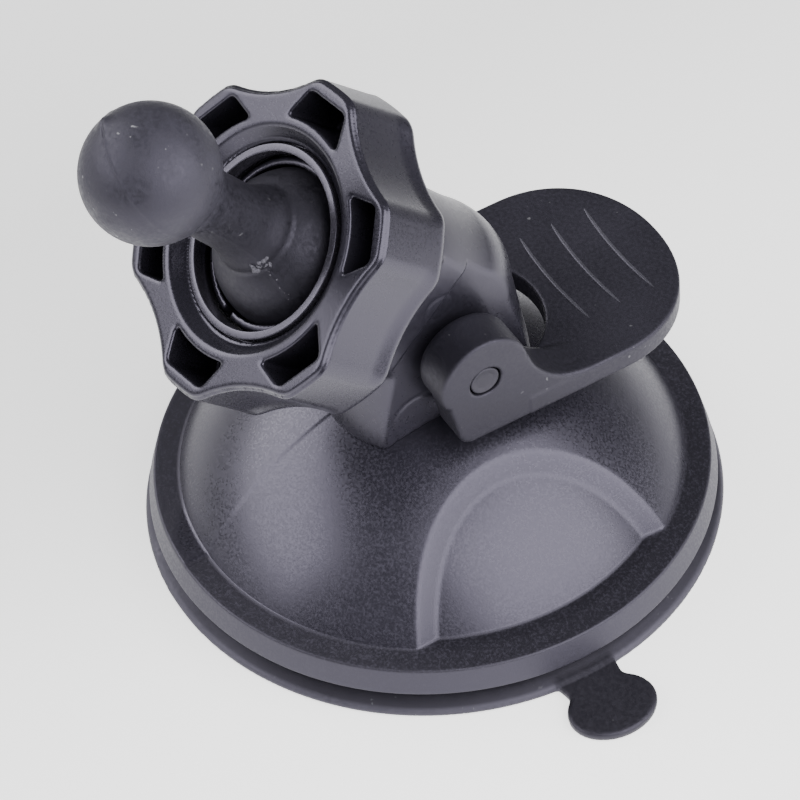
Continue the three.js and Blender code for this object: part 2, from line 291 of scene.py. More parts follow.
def surface_of(field, low, high, cell):
    """Points and quads of the closed surface where field is 0, inside the box from low to high."""
    ticks = [np.arange(a - 2 * cell, b + 2.5 * cell, cell) for a, b in zip(low, high)]
    origin = np.array([t[0] for t in ticks])
    value = field(*np.meshgrid(*ticks, indexing="ij"))
    inside = value < 0.0
    corners = list(itertools.product((0, 1), repeat=3))
    shape = tuple(n - 1 for n in value.shape)
    count = np.zeros(shape, dtype=np.int8)
    for i, j, k in corners:
        count += inside[i:i + shape[0], j:j + shape[1], k:k + shape[2]]
    active = (count > 0) & (count < 8)
    index = np.full(shape, -1)
    index[active] = np.arange(np.count_nonzero(active))
    cells = np.argwhere(active)

    total = np.zeros((len(cells), 3))
    hits = np.zeros(len(cells))
    for axis in range(3):
        unit = np.eye(3, dtype=int)[axis]
        for corner in corners:
            if corner[axis]:
                continue
            start = cells + corner
            first = value[tuple(start.T)]
            second = value[tuple((start + unit).T)]
            crossing = (first < 0.0) != (second < 0.0)
            share = np.where(crossing, first / np.where(crossing, first - second, 1.0), 0.0)
            total += np.where(crossing[:, None], start + share[:, None] * unit, 0.0)
            hits += crossing
    points = origin + cell * total / hits[:, None]

    for _ in range(4):
        slope = slopes(field, points)
        steep = np.maximum((slope ** 2).sum(axis=1), 0.05)
        move = -(field(*points.T) / steep)[:, None] * slope
        points += np.clip(move, -0.4 * cell, 0.4 * cell)

    quads = []
    for axis in range(3):
        unit, side, other = (np.eye(3, dtype=int)[(axis + turn) % 3] for turn in range(3))
        here = [slice(1, -1)] * 3
        there = [slice(1, -1)] * 3
        here[axis], there[axis] = slice(0, -1), slice(1, None)
        lower, upper = inside[tuple(here)], inside[tuple(there)]
        offset = 1 - unit
        for flip in (False, True):
            edges = np.argwhere((lower & ~upper) if not flip else (~lower & upper)) + offset
            around = [edges, edges - side, edges - side - other, edges - other]
            quad = np.stack([index[tuple(e.T)] for e in around], axis=1)
            quads.append(quad[:, ::-1] if flip else quad)
    return points, np.concatenate(quads).tolist()


def rounded(corners, step):
    """Corners (r, z, fillet) joined by straight lines, each corner rounded, as points about step apart."""
    path = []
    for i, (r, z, fillet) in enumerate(corners):
        here = np.array((r, z), dtype=float)
        before, after = corners[i - 1][:2], corners[(i + 1) % len(corners)][:2]
        if fillet <= 0:
            path.append([here])
            continue
        back, ahead = np.array(before) - here, np.array(after) - here
        back_len, ahead_len = np.linalg.norm(back), np.linalg.norm(ahead)
        back, ahead = back / back_len, ahead / ahead_len
        half = math.acos(np.clip(back @ ahead, -1, 1)) / 2
        reach = min(fillet / math.tan(half), 0.45 * back_len, 0.45 * ahead_len)
        radius = reach * math.tan(half)
        middle = here + (back + ahead) / np.linalg.norm(back + ahead) * radius / math.sin(half)
        start, end = here + back * reach - middle, here + ahead * reach - middle
        turns = [t / 6 for t in range(7)]
        arc = [start * (1 - t) + end * t for t in turns]
        path.append([middle + a / np.linalg.norm(a) * radius for a in arc])
    dense = []
    for i, group in enumerate(path):
        dense.extend(group)
        following = path[(i + 1) % len(path)][0]
        if i + 1 < len(path) or corners[0][0] > 0:
            gap = np.linalg.norm(following - group[-1])
            pieces = max(1, int(round(gap / step)))
            dense.extend(group[-1] + (following - group[-1]) * t / pieces for t in range(1, pieces))
    return np.array(dense)


def turned(profile, segments, warp=None):
    """Points and faces of a profile turned about Z. It closes on itself, or starts and ends on the axis."""
    on_axis = profile[0][0] < 1e-6
    rings = profile[1:-1] if on_axis else profile
    angles = np.arange(segments) * 2 * math.pi / segments
    r, z = rings[:, 0][:, None], rings[:, 1][:, None]
    shape = (len(rings), segments)
    points = np.stack([r * np.cos(angles), r * np.sin(angles), np.broadcast_to(z, shape)], axis=2)
    points = points.reshape(-1, 3)
    if warp is not None:
        points = warp(points)
    count = len(rings)
    last = count if not on_axis else count - 1
    faces = []
    for ring in range(last):
        low, high = ring * segments, ((ring + 1) % count) * segments
        for s in range(segments):
            n = (s + 1) % segments
            faces.append((low + s, low + n, high + n, high + s))
    if on_axis:
        ends = [(0, 0, profile[0][1]), (0, 0, profile[-1][1])]
        points = np.concatenate([points, ends])
        first, final = count * segments, count * segments + 1
        top = (count - 1) * segments
        for s in range(segments):
            n = (s + 1) % segments
            faces.append((first, n, s))
            faces.append((final, top + s, top + n))
    return points, faces


def arc_corners(centre_z, radius, start, end, steps):
    """Corners with no fillet along an arc, by its angle from +Z."""
    angles = [start + (end - start) * i / steps for i in range(steps + 1)]
    return [(radius * math.sin(a), centre_z + radius * math.cos(a), 0) for a in angles]


# ---------------------------------------------------------------- materials

class Nodes:
    """Short ways to add and join nodes in one material."""

    def __init__(self, name):
        self.material = bpy.data.materials.new(name)
        self.material.use_nodes = True
        self.tree = self.material.node_tree
        self.shader = self.tree.nodes["Principled BSDF"]
        self.place = self.add("ShaderNodeTexCoord").outputs["Object"]

    def add(self, kind, inputs=(), **settings):
        node = self.tree.nodes.new(kind)
        for key, value in settings.items():
            setattr(node, key, value)
        for key, value in dict(inputs).items():
            self.put(node.inputs[key], value)
        return node

    def put(self, socket, value):
        if isinstance(value, bpy.types.NodeSocket):
            self.tree.links.new(value, socket)
        else:
            socket.default_value = value

    def maths(self, operation, a, b=0.0, clamp=False):
        node = self.add("ShaderNodeMath", {0: a, 1: b}, operation=operation, use_clamp=clamp)
        return node.outputs[0]

    def noise(self, size, detail=2.0, rough=0.5):
        """Noise whose blobs are about size millimetres across."""
        scale = 0.5 / (size * MM)
        inputs = {"Vector": self.place, "Scale": scale, "Detail": detail, "Roughness": rough}
        return self.add("ShaderNodeTexNoise", inputs).outputs["Fac"]

    def remap(self, value, low, high, new_low, new_high):
        """The value stretched from low and high to new_low and new_high, and held there outside them."""
        inputs = {"Value": value, "From Min": low, "From Max": high, "To Min": new_low, "To Max": new_high}
        return self.add("ShaderNodeMapRange", inputs).outputs["Result"]

    def blend(self, share, a, b):
        """The colour that goes from a to b as share goes from 0 to 1."""
        node = self.add("ShaderNodeMix", {0: share}, data_type="RGBA")
        self.put(node.inputs[6], a)
        self.put(node.inputs[7], b)
        return node.outputs[2]

    def bump(self, height, depth):
        """A bump of depth millimetres where height goes from 0 to 1."""
        inputs = {"Height": height, "Distance": depth * MM, "Strength": 1.0}
        return self.add("ShaderNodeBump", inputs).outputs["Normal"]

    def radius(self):
        """The distance from the Z axis, in metres."""
        split = self.add("ShaderNodeSeparateXYZ", {0: self.place})
        flat = self.add("ShaderNodeCombineXYZ", {0: split.outputs[0], 1: split.outputs[1], 2: 0.0})
        length = self.add("ShaderNodeVectorMath", {0: flat.outputs[0]}, operation="LENGTH")
        return length.outputs["Value"]


def shade(colour, k):
    """The colour k times as bright, with an alpha of 1."""
    return (colour[0] * k, colour[1] * k, colour[2] * k, 1.0)


def moulded(name, colour, rough, grain, depth, spread=0.08, dust=0.0, shine=0.5, fade=None, patch=9.0):
    """Moulded plastic or rubber: fine grain, patches of tone and gloss, and a little pale dust.

    grain and patch are sizes in millimetres and depth is the grain's. fade gives a factor on the colour,
    used to paint shade on the stud and a highlight on the pad's lip.
    """
    n = Nodes(name)
    slow = n.noise(patch, detail=3.0)
    fine = n.noise(grain, detail=2.0, rough=0.6)
    tone = n.blend(n.remap(slow, 0.35, 0.65, 0, 1), shade(colour, 0.86), shade(colour, 1.14))
    tone = n.blend(n.remap(fine, 0.4, 0.75, 0, 0.35), tone, shade(colour, 1.9))
    if dust:
        specks = n.noise(0.45, detail=1.0)
        rare = n.noise(4.0, detail=2.0)
        mask = n.maths("MULTIPLY", n.remap(specks, 0.72, 0.78, 0, 1), n.remap(rare, 0.5, 0.62, 0, dust))
        tone = n.blend(mask, tone, DUST)
    # Painted light: the colour scaled by fade.
    if fade:
        scaled = n.add("ShaderNodeVectorMath", {0: tone, "Scale": fade(n)}, operation="SCALE")
        tone = scaled.outputs[0]
    n.put(n.shader.inputs["Base Color"], tone)
    slow_gloss, fine_gloss = (n.remap(noise, 0.3, 0.7, -spread, spread) for noise in (slow, fine))
    gloss = n.maths("ADD", slow_gloss, fine_gloss)
    n.put(n.shader.inputs["Roughness"], n.maths("ADD", gloss, rough, clamp=True))
    n.shader.inputs["Specular IOR Level"].default_value = shine
    n.shader.inputs["Specular Tint"].default_value = VIOLET_SHEEN
    n.put(n.shader.inputs["Normal"], n.bump(fine, depth))
    return n.material


def cover_plastic(name):
    """Sparkling satin grain on the dome, with a matte, finely grained rim."""
    n = Nodes(name)
    z = n.add("ShaderNodeSeparateXYZ", {0: n.place}).outputs[2]
    below_dome = n.remap(z, (RIM_Z + 0.28) * MM, (RIM_Z + 0.2) * MM, 0, 1)
    above_skirt = n.remap(z, (RIM_Z - 0.32) * MM, (RIM_Z - 0.22) * MM, 0, 1)
    outer = n.remap(n.radius(), 30.0 * MM, 30.1 * MM, 0, 1)
    rim = n.maths("MULTIPLY", n.maths("MULTIPLY", below_dome, above_skirt), outer)
    slow = n.noise(10.0, detail=3.0)
    grain = n.noise(0.16, detail=1.0)
    dome_tone = n.blend(n.remap(slow, 0.35, 0.65, 0, 1), shade(CHARCOAL, 0.9), shade(CHARCOAL, 1.15))
    dome_tone = n.blend(n.remap(grain, 0.5, 0.7, 0, 0.5), dome_tone, shade(CHARCOAL, 2.2))
    rim_tone = n.blend(n.remap(grain, 0.5, 0.7, 0, 1), shade(CHARCOAL, 0.25), shade(CHARCOAL, 1.2))
    n.put(n.shader.inputs["Base Color"], n.blend(rim, dome_tone, rim_tone))
    slow_gloss = n.remap(slow, 0.3, 0.7, -0.03, 0.03)
    dome_gloss = n.maths("ADD", n.remap(grain, 0.35, 0.65, 0.275, 0.415), slow_gloss)
    rim_gloss = n.remap(grain, 0.3, 0.75, 0.5, 0.62)
    lift = n.maths("MULTIPLY", n.maths("SUBTRACT", rim_gloss, dome_gloss), rim)
    skirt = n.maths("MULTIPLY", n.remap(above_skirt, 0, 1, 0.16, 0), outer)
    n.put(n.shader.inputs["Roughness"], n.maths("ADD", n.maths("ADD", dome_gloss, lift), skirt))
    n.shader.inputs["Specular IOR Level"].default_value = 0.68
    n.shader.inputs["Specular Tint"].default_value = VIOLET_SHEEN
    n.put(n.shader.inputs["Normal"], n.bump(grain, 0.009))
    return n.material


def stem_painted_shade(n):
    """Painted shade: 1 on the exposed ball, and less down the stem and the inner ball, which sit shaded
    inside the nut.
    """
    reach = n.add("ShaderNodeVectorMath", {0: n.place, 1: outer_ball * MM}, operation="DISTANCE")
    return n.remap(reach.outputs["Value"], 8.6 * MM, 12.0 * MM, 1.0, 0.4)


def lip_painted_sheen(n):
    """Paler rubber on the outer edge of the pad: a painted highlight along its lip."""
    radius = n.radius()
    rise = n.remap(radius, (PAD_R - 0.75) * MM, (PAD_R - 0.3) * MM, 0.0, 1.0)
    fall = n.remap(radius, (PAD_R + 0.4) * MM, (PAD_R + 0.1) * MM, 0.0, 2.2)
    return n.maths("ADD", n.maths("MULTIPLY", rise, fall), 1.0)


def steel(name):
    """Drawn steel wire, in two close greys with an uneven polish."""
    n = Nodes(name)
    grey = n.blend(n.noise(0.6), (0.42, 0.42, 0.44, 1.0), (0.55, 0.55, 0.57, 1.0))
    n.put(n.shader.inputs["Base Color"], grey)
    n.shader.inputs["Metallic"].default_value = 1.0
    n.put(n.shader.inputs["Roughness"], n.remap(n.noise(0.2), 0.3, 0.7, 0.25, 0.4))
    return n.material


cover_look = cover_plastic("cover_plastic")
neck_look = moulded("neck_plastic", CHARCOAL, rough=0.32, grain=0.25, depth=0.012, spread=0.05, shine=0.66)
nut_look = moulded("nut_plastic", CHARCOAL, rough=0.30, grain=0.16, depth=0.007, spread=0.05, shine=0.66)
# The ring's colour, paler than the nut's, is a painted highlight on its rounded lip.
ring_highlight_look = moulded(
    "ring_painted_highlight", (0.026, 0.0245, 0.031), rough=0.24, grain=0.3, depth=0.004, spread=0.04, shine=0.8,
)
# The stud's colour darkens down the stem and the inner ball: painted shade inside the nut.
stud_look = moulded(
    "stud_plastic", (0.0195, 0.0186, 0.0245), rough=0.55, grain=0.26, depth=0.03, spread=0.11, dust=0.8,
    shine=0.45, fade=stem_painted_shade, patch=2.2,
)
crumb_look = moulded("crumb_plastic", (0.065, 0.063, 0.073), rough=0.45, grain=0.2, depth=0.03)
lever_look = moulded("lever_plastic", (0.0085, 0.0080, 0.0110), rough=0.5, grain=0.24, depth=0.02, dust=0.3)
# The ribs' colour, paler than the flap's, is a painted highlight along their ridges.
rib_highlight_look = moulded("rib_painted_highlight", (0.034, 0.033, 0.04), rough=0.42, grain=0.24, depth=0.01)
pin_look = moulded("pin_steel", (0.0095, 0.009, 0.0115), rough=0.42, grain=0.3, depth=0.006)
plunger_look = moulded("plunger_plastic", (0.011, 0.0105, 0.0135), rough=0.5, grain=0.3, depth=0.01)
# The pad's lip is made paler: a painted highlight along its edge.
pad_look = moulded(
    "pad_rubber", (0.0095, 0.009, 0.0115), rough=0.55, grain=0.3, depth=0.015, dust=0.25, fade=lip_painted_sheen,
)
spring_look = steel("spring_steel")


# ---------------------------------------------------------------- cover

def dome_height(r):
    """The height of the dome's outside at radius r."""
    return DOME_Z + np.sqrt(np.maximum(DOME_R ** 2 - r ** 2, 0.0))


def cover_warp(points):
    """Presses the scoop into the dome, and adds the faint step where the mould's halves meet."""
    centre = np.array((0, 0, DOME_Z))
    out = points - centre
    reach = np.linalg.norm(out, axis=1)
    outer = (points[:, 2] > RIM_Z - 0.05) & (reach > DOME_R - 1.0)
    spread = np.hypot(points[:, 0] - SCOOP_X, points[:, 1])
    share = (SCOOP_R - spread) / SCOOP_WALL
    share = smooth_min(smooth_max(share, 0.0, 0.1), 1.0, 0.1)
    share = np.where(outer, share, 0.0)
    pressed = centre + out / reach[:, None] * (reach - SCOOP_DEPTH * share)[:, None]
    radius = np.hypot(points[:, 0], points[:, 1])
    floor = np.where(radius > SCOOP_FLOOR_R, RIM_Z + 0.05, -np.inf)
    pressed[:, 2] = np.where(outer & (share > 0.01), smooth_max(pressed[:, 2], floor, 0.3), pressed[:, 2])
    moved = np.where((outer & (radius < RIM_INNER_R))[:, None], pressed, points)
    front = ramp(-points[:, 1], 6.0, 11.0)
    side = ramp(-points[:, 0], 0.95, 1.2) * (1.0 - ramp(-points[:, 0], 4.0, 14.0))
    top = points[:, 2] > RIM_Z - 1.0
    height = PARTING_STEP + RIM_PARTING_STEP * ramp(radius, 31.0, 32.5)
    moved[:, 2] += np.where(top & (radius > 10), height * front * side, 0.0)
    return moved


def make_cover():
    """The cover turned from one profile, which is finer outside than on its hidden underside."""
    inner_r = DOME_R - DOME_WALL
    start, end = math.asin(BORE_R / DOME_R), math.asin(RIM_INNER_R / DOME_R)
    corners = [
        *arc_corners(DOME_Z, DOME_R, start, end, 132),
        (RIM_R, RIM_Z, 0.35),
        (SKIRT_R, SKIRT_Z, 0.25),
        (SKIRT_INNER_R, SKIRT_Z, 0.25),
        (SKIRT_INNER_R, SKIRT_SHELF_Z, 0.3),
        *arc_corners(DOME_Z, inner_r, math.asin(29.6 / inner_r), math.asin(BOSS_R / inner_r), 8),
        (BOSS_R, BOSS_Z, 0),
        (BORE_R, BOSS_Z, 0),
    ]
    profile = rounded(corners, 0.45)
    r, z = profile.T
    hidden = (r < SKIRT_INNER_R + 0.2) & (z < dome_height(r) - 1.5)
    keep = ~hidden | (np.arange(len(profile)) % 5 == 0)
    points, faces = turned(profile[keep][::-1], 500, cover_warp)
    make_piece("cover", points, faces, WORLD, "base", [cover_look], ["base_cover"])


# ---------------------------------------------------------------- neck

def neck_field(x, y, z):
    """The column and the socket, met by a ball at the elbow, with both sides cut flat."""
    w = y * socket_axis.y + (z - elbow.z) * socket_axis.z
    v = y * socket_axis.z - (z - elbow.z) * socket_axis.y
    r = np.hypot(x, y)
    waist = COLUMN_FLARE * (1.0 - ramp(z, COLUMN_FOOT_Z, elbow.z + 3.0))
    waist = waist + BACK_SWELLING * ramp(y, 0.0, 10.0) * ramp(z, 19.0, 31.0)
    cone = r * math.cos(COLUMN_TAPER) + (z - elbow.z) * math.sin(COLUMN_TAPER) - ELBOW_R
    column = smooth_max(r - ELBOW_R - waist, cone, 1.5)
    column = np.maximum(column, z - elbow.z - ELBOW_R * math.sin(COLUMN_TAPER))
    bend = np.sqrt(x * x + y * y + (z - elbow.z) ** 2) - ELBOW_R
    taper = FINGER_TAPER * np.maximum(w - FINGER_W, 0.0)
    step = SOCKET_STEP * ramp(w, SOCKET_STEP_W, SOCKET_STEP_W + 0.5)
    socket_r = ELBOW_R + SOCKET_FLARE * ramp(w, 0.0, 12.0) + step - taper
    socket = smooth_max(np.maximum(np.hypot(x, v) - socket_r, -w), w - FINGER_TIP_W, 0.4)
    body = np.minimum(smooth_min(column, socket, 1.0), bend)
    half = FLAT_X + (SHOULDER_X - FLAT_X) * ramp(w, SHOULDER_W - 0.15, SHOULDER_W + 0.15)
    half = half + 0.9 * np.maximum(w - 9.5, 0.0)
    marks = ring_mark(y + 2.0, z - 43.2, 2.1, 0.22) + ring_mark(y + 5.5, z - 25.0, 4.0, 0.25)
    body = smooth_max(body, np.abs(x) - half + MARK_DEPTH * marks, 0.45)

    cavity = np.sqrt(x * x + v * v + (w - BALL_W) ** 2) - CAVITY_R
    slots = np.maximum(np.minimum(np.abs(x), np.abs(v)) - SLOT_HALF, SLOT_W - w)
    stem_bore = np.maximum(r - BORE_R, z - STEM_BORE_Z)
    pin_path = np.hypot(y, z - np.clip(z, PIN_Z - PIN_PATH, PIN_Z)) - PIN_R - PIN_PATH_GAP
    dome = DOME_R + 0.05 - np.sqrt(x * x + y * y + (z - DOME_Z) ** 2)
    cut = np.minimum(np.minimum(cavity, slots), np.minimum(stem_bore, pin_path))
    body = smooth_max(body, -cut, 0.25)
    return smooth_max(body, dome, 0.12)


def make_neck():
    """The neck's surface, inside its CAD node's box."""
    low, high = (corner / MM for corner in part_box("neck_arm"))
    points, quads = surface_of(neck_field, low, high, 0.27)
    make_piece("neck", points, quads, WORLD, "base", [neck_look], ["neck_arm"])


# ---------------------------------------------------------------- clamp nut

def nut_field(x, y, w):
    """Six lobes with a pocket in each, a collar behind them, and a bore that flares at its mouth."""
    r = np.hypot(x, y)
    turn = np.arctan2(y, x) - LOBE_PHASE
    turn = np.mod(turn + LOBE_STEP / 2, LOBE_STEP) - LOBE_STEP / 2
    u, v = r * np.cos(turn), np.abs(r * np.sin(turn))
    crown = np.hypot(u + LOBE_OFFSET, v) - LOBE_R
    valley_u, valley_v = FLUTE_REACH * math.cos(LOBE_STEP / 2), FLUTE_REACH * math.sin(LOBE_STEP / 2)
    flute_r = FLUTE_R - FLUTE_FLARE * ramp(-w, -22.0, -18.0)
    flute = flute_r - np.hypot(u - valley_u, v - valley_v)
    side = smooth_max(crown, flute, 0.9)
    front_step = NUT_FACE_STEP * ramp(w, NUT_FACE_W - 0.62, NUT_FACE_W - 0.5)
    body = smooth_max(side + front_step, w - NUT_FACE_W, 0.55)
    body = smooth_max(body, NUT_REAR_W + NUT_BEVEL - w, NUT_BEVEL)
    collar = smooth_max(smooth_max(r - COLLAR_R, NUT_REAR_W - w, 0.8), w - COLLAR_W, 0.5)
    body = smooth_min(body, collar, 0.5)

    bore = np.minimum(np.maximum(r - NUT_BORE_R, w - NUT_BORE_W), r - WEB_R)
    mouth = (r - MOUTH_R - (w - MOUTH_W) * MOUTH_FLARE) * MOUTH_COS
    mouth = smooth_max(mouth, MOUTH_W - w, 0.15)
    body = smooth_max(body, -smooth_min(bore, mouth, 0.15), 0.25)

    pocket_side = POCKET_SIDE[0] * u + POCKET_SIDE[1] * v - POCKET_SIDE_REACH
    pocket = smooth_max(u - POCKET_U, pocket_side, 0.9)
    pocket = smooth_max(pocket, POCKET_INNER_R - r, 0.9)
    pocket = smooth_max(pocket, NUT_FACE_W - POCKET_DEPTH - w, 0.4)
    return smooth_max(body, -pocket, 0.35)


def make_nut():
    """The nut's surface, in the socket's frame."""
    low, high = (-NUT_R, -NUT_R, NUT_REAR_W), (NUT_R, NUT_R, NUT_FACE_W)
    points, quads = surface_of(nut_field, low, high, 0.26)
    make_piece("nut", points, quads, SOCKET, "nut", [nut_look], ["clamp_nut"])


def make_ring():
    """The bright ring inside the nut's mouth, turned about the socket's axis; its paler colour is a painted
    highlight.
    """
    corners = [
        (11.75, RING_BACK_W, 0.15),
        (RING_R, RING_BACK_W, 0.2),
        (RING_R, RING_STEP_W, 0.15),
        (11.9, RING_STEP_W, 0.15),
        (RING_LIP_R, RING_FACE_W, 0.16),
        (RING_BORE_R, RING_FACE_W, 0.16),
        (RING_BORE_R, RING_STEP_W, 0.2),
    ]
    points, faces = turned(rounded(corners, 0.3), 256)
    make_piece("ring", points, faces, SOCKET, "ring", [ring_highlight_look], ["pressure_ring"])


# ---------------------------------------------------------------- ball stud

def stud_warp(points):
    """Raises the parting line, its gate and a swelling of flash at the stem's root, and cuts a scratch."""
    x, y, z = points.T
    turn = math.cos(SEAM_ANGLE), math.sin(SEAM_ANGLE)
    across = y * turn[0] - x * turn[1]
    along = x * turn[0] + y * turn[1]
    on_outer_ball = z > STUD_LENGTH
    line = SEAM_HEIGHT * np.exp(-((across / SEAM_WIDTH) ** 2))
    gate_at = along + GATE_OFFSET
    gate = np.exp(-(across / 0.9) ** 2 - (gate_at / 1.1) ** 2) * on_outer_ball
    ripple = np.sin(7.0 * along + 3.0 * z) * np.sin(5.0 * z + 2.0 * across)
    swelling = np.exp(-((z - SWELLING_Z) / 0.9) ** 2 - (across / 0.8) ** 2) * (along > 0)
    scratch = np.exp(-((across / SCRATCH_WIDTH) ** 2))
    scratch = scratch * ramp(gate_at, -0.2, 0.3) * (1.0 - ramp(gate_at, 2.3, 2.8))
    scratch = SCRATCH_DEPTH * scratch * on_outer_ball
    lift = line + GATE_HEIGHT * gate - scratch + SWELLING_HEIGHT * swelling * (0.6 + 0.4 * ripple)
    middle = np.where(z > STUD_LENGTH - 7.0, STUD_LENGTH, np.where(z < STEM_START, 0.0, z))
    out = np.stack([x, y, z - middle], axis=1)
    size = np.maximum(np.linalg.norm(out, axis=1), 1e-6)
    return points + out / size[:, None] * np.where(np.hypot(x, y) > 0.01, lift, 0.0)[:, None]


def make_stud():
    """The two balls and the stem between them, turned from one profile."""
    root = math.asin(STEM_ROOT_R / INNER_BALL_R)
    tip = math.asin(STEM_TIP_R / OUTER_BALL_R)
    stem, steps = [], 29
    for i in range(steps + 1):
        z = STEM_START + STEM_LENGTH * i / steps
        root_fillet = 1.15 * math.exp(-((z - STEM_START) / 2.2) ** 1.5)
        tip_fillet = 0.6 * math.exp(-((z - 22.0) / 1.6) ** 2)
        stem.append((STEM_R + root_fillet + tip_fillet, z, 0))
    corners = [
        *arc_corners(0, INNER_BALL_R, math.pi, root, 56),
        *stem,
        *arc_corners(STUD_LENGTH, OUTER_BALL_R, math.pi - tip, 0, 48),
    ]
    points, faces = turned(rounded(corners, 0.4), 200, stud_warp)
    make_piece("stud", points, faces, STUD, "stud", [stud_look], ["ball_stud"])


def crumb(centre, size, seed):
    """Points and faces of one crumb: an icosahedron split once, with each point moved in or out."""
    grid = bmesh.new()
    bmesh.ops.create_icosphere(grid, subdivisions=2, radius=1.0)
    points = np.array([v.co[:] for v in grid.verts])
    faces = [[v.index for v in f.verts] for f in grid.faces]
    grid.free()
    rough = 1.0 + 0.35 * np.sin(3.1 * points[:, 0] + seed) * np.cos(2.7 * points[:, 1] - 2.0 * seed)
    stretch = np.array((1.0, 0.7 + 0.3 * math.sin(seed), 0.7 + 0.3 * math.cos(2.3 * seed)))
    return points * rough[:, None] * stretch * size + np.array(centre), faces


def make_crumbs():
    """Crumbs of flash at the root of the stem, and in a line down the inner ball on the parting line."""
    spots = []  # (radius, turn, height, size)
    for i in range(14):
        turn = SEAM_ANGLE - 0.04 + 0.2 * math.sin(2.2 * i)
        height = 8.8 + 0.9 * abs(math.sin(1.7 * i + 0.4))
        radius = 5.5 - 0.5 * (height - 8.9)
        spots.append((radius, turn, height, 0.3 + 0.22 * math.sin(3.0 * i) ** 2))
    for i in range(7):
        lean = math.radians(36 + 4.2 * i + 1.5 * math.sin(5.0 * i))
        turn = SEAM_ANGLE + 0.03 * math.sin(4.0 * i)
        radius, height = INNER_BALL_R * math.sin(lean), INNER_BALL_R * math.cos(lean)
        spots.append((radius, turn, height, 0.17 - 0.014 * i))
    points, faces = [], []
    for i, (radius, turn, height, size) in enumerate(spots):
        centre = (radius * math.cos(turn), radius * math.sin(turn), height)
        more, sides = crumb(centre, size, 1.3 * i)
        faces.extend([index + len(points) for index in side] for side in sides)
        points.extend(more.tolist())
    make_piece("stud_crumbs", points, faces, STUD, "stud", [crumb_look])


# ---------------------------------------------------------------- lever

def lever_field(x, y, z):
    """Two thick ears that grow out of a flap, which is cut out round the neck."""
    wide = np.abs(x)
    top = smooth_max(np.hypot(y, z - EAR_TOP_Z) - EAR_TOP_R, EAR_STEP_Z - z, 0.5)
    lean = np.array(EAR_FRONT_NORMAL) / math.hypot(*EAR_FRONT_NORMAL)
    front = lean[0] * (y - EAR_FRONT_Y) + lean[1] * (z - FLAP_BOTTOM_Z)
    hollow = HOLLOW_R - np.hypot(y - HOLLOW_Y, z - HOLLOW_Z)
    web = smooth_max(front, FLAP_BOTTOM_Z - z, 1.6)
    web = np.maximum(np.maximum(web, hollow), np.maximum(y - HOLLOW_Y, z - WEB_TOP_Z))
    ear = smooth_max(smooth_min(top, web, 0.35), wide - EAR_OUTER_X, 0.5)
    ear = smooth_max(ear, EAR_INNER_X - wide, 1.6)

    power = FLAP_CURVE_POWER
    oval = (wide / FLAP_HALF_X) ** power
    oval = oval + (np.maximum(y - FLAP_CURVE_Y, 0.0) / FLAP_CURVE_REACH) ** power
    rim = (oval ** (1 / power) - 1.0) * 14.8
    thick = np.abs(z - (FLAP_TOP_Z + FLAP_BOTTOM_Z) / 2) - (FLAP_TOP_Z - FLAP_BOTTOM_Z) / 2
    plate = smooth_max(np.maximum(rim, CUTOUT_Y - y), thick, 0.5)
    cutout = np.hypot(x, np.maximum(y - CUTOUT_Y, 0.0)) - CUTOUT_R
    plate = smooth_max(plate, -smooth_max(wide - EAR_INNER_X, cutout, 0.4), 0.5)
    hole = np.hypot(y, z - PIN_Z) - PIN_R - PIN_HOLE_GAP
    mark = 0.05 * ring_mark(x - 11.5, y - 13.0, 2.2, 0.25) * (z > FLAP_TOP_Z - 0.8)
    return smooth_max(smooth_min(ear, plate, 0.15), -hole, 0.15) + mark


def make_lever():
    """The ears and the flap, inside the lever node's box."""
    low, high = (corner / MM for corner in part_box("lever"))
    points, quads = surface_of(lever_field, low, high, 0.24)
    make_piece("lever_body", points, quads, WORLD, "lever", [lever_look], ["lever"])


def make_grip_ribs():
    """Three thin raised arcs across the flap, tapering to nothing at both ends."""
    steps, sides = 48, 7
    points, faces = [], []
    for middle_y in (18.6, 23.2, 28.1):
        first = len(points)
        for i in range(steps + 1):
            x = RIB_HALF * (2 * i / steps - 1)
            y = middle_y + 0.65 * (x / RIB_HALF) ** 2
            size = max(0.02, (1 - (x / RIB_HALF) ** 6))
            for k in range(sides):
                a = math.pi * k / (sides - 1)
                across, up = RIB_HALF_WIDTH * size * math.cos(a), RIB_HEIGHT * size * math.sin(a)
                points.append((x, y + across, FLAP_TOP_Z - 0.05 + up))
        for i in range(steps):
            for k in range(sides):
                a, b = first + i * sides + k, first + i * sides + (k + 1) % sides
                faces.append((a, b, b + sides, a + sides))
        faces.append(tuple(range(first + sides - 1, first - 1, -1)))
        faces.append(tuple(range(first + steps * sides, first + (steps + 1) * sides)))
    make_piece("grip_ribs", points, faces, WORLD, "lever", [rib_highlight_look])


def make_pin():
    """A round pin through both ears, with a shallow dish in each end."""
    corners = [
        (0, -PIN_HALF + 0.12, 0),
        (1.2, -PIN_HALF + 0.1, 0.3),
        (PIN_R, -PIN_HALF, 0.2),
        (PIN_R, PIN_HALF, 0.2),
        (1.2, PIN_HALF - 0.1, 0.3),
        (0, PIN_HALF - 0.12, 0),
    ]
    points, faces = turned(rounded(corners, 0.6), 96)
    turn = Matrix.Rotation(math.pi / 2, 4, "Y")
    lay = Matrix.Scale(MM, 4) @ Matrix.Translation((0, 0, PIN_Z)) @ turn
    make_piece("pin", points, faces, lay, "plunger", [pin_look], ["lever_pin"])


# ---------------------------------------------------------------- pad

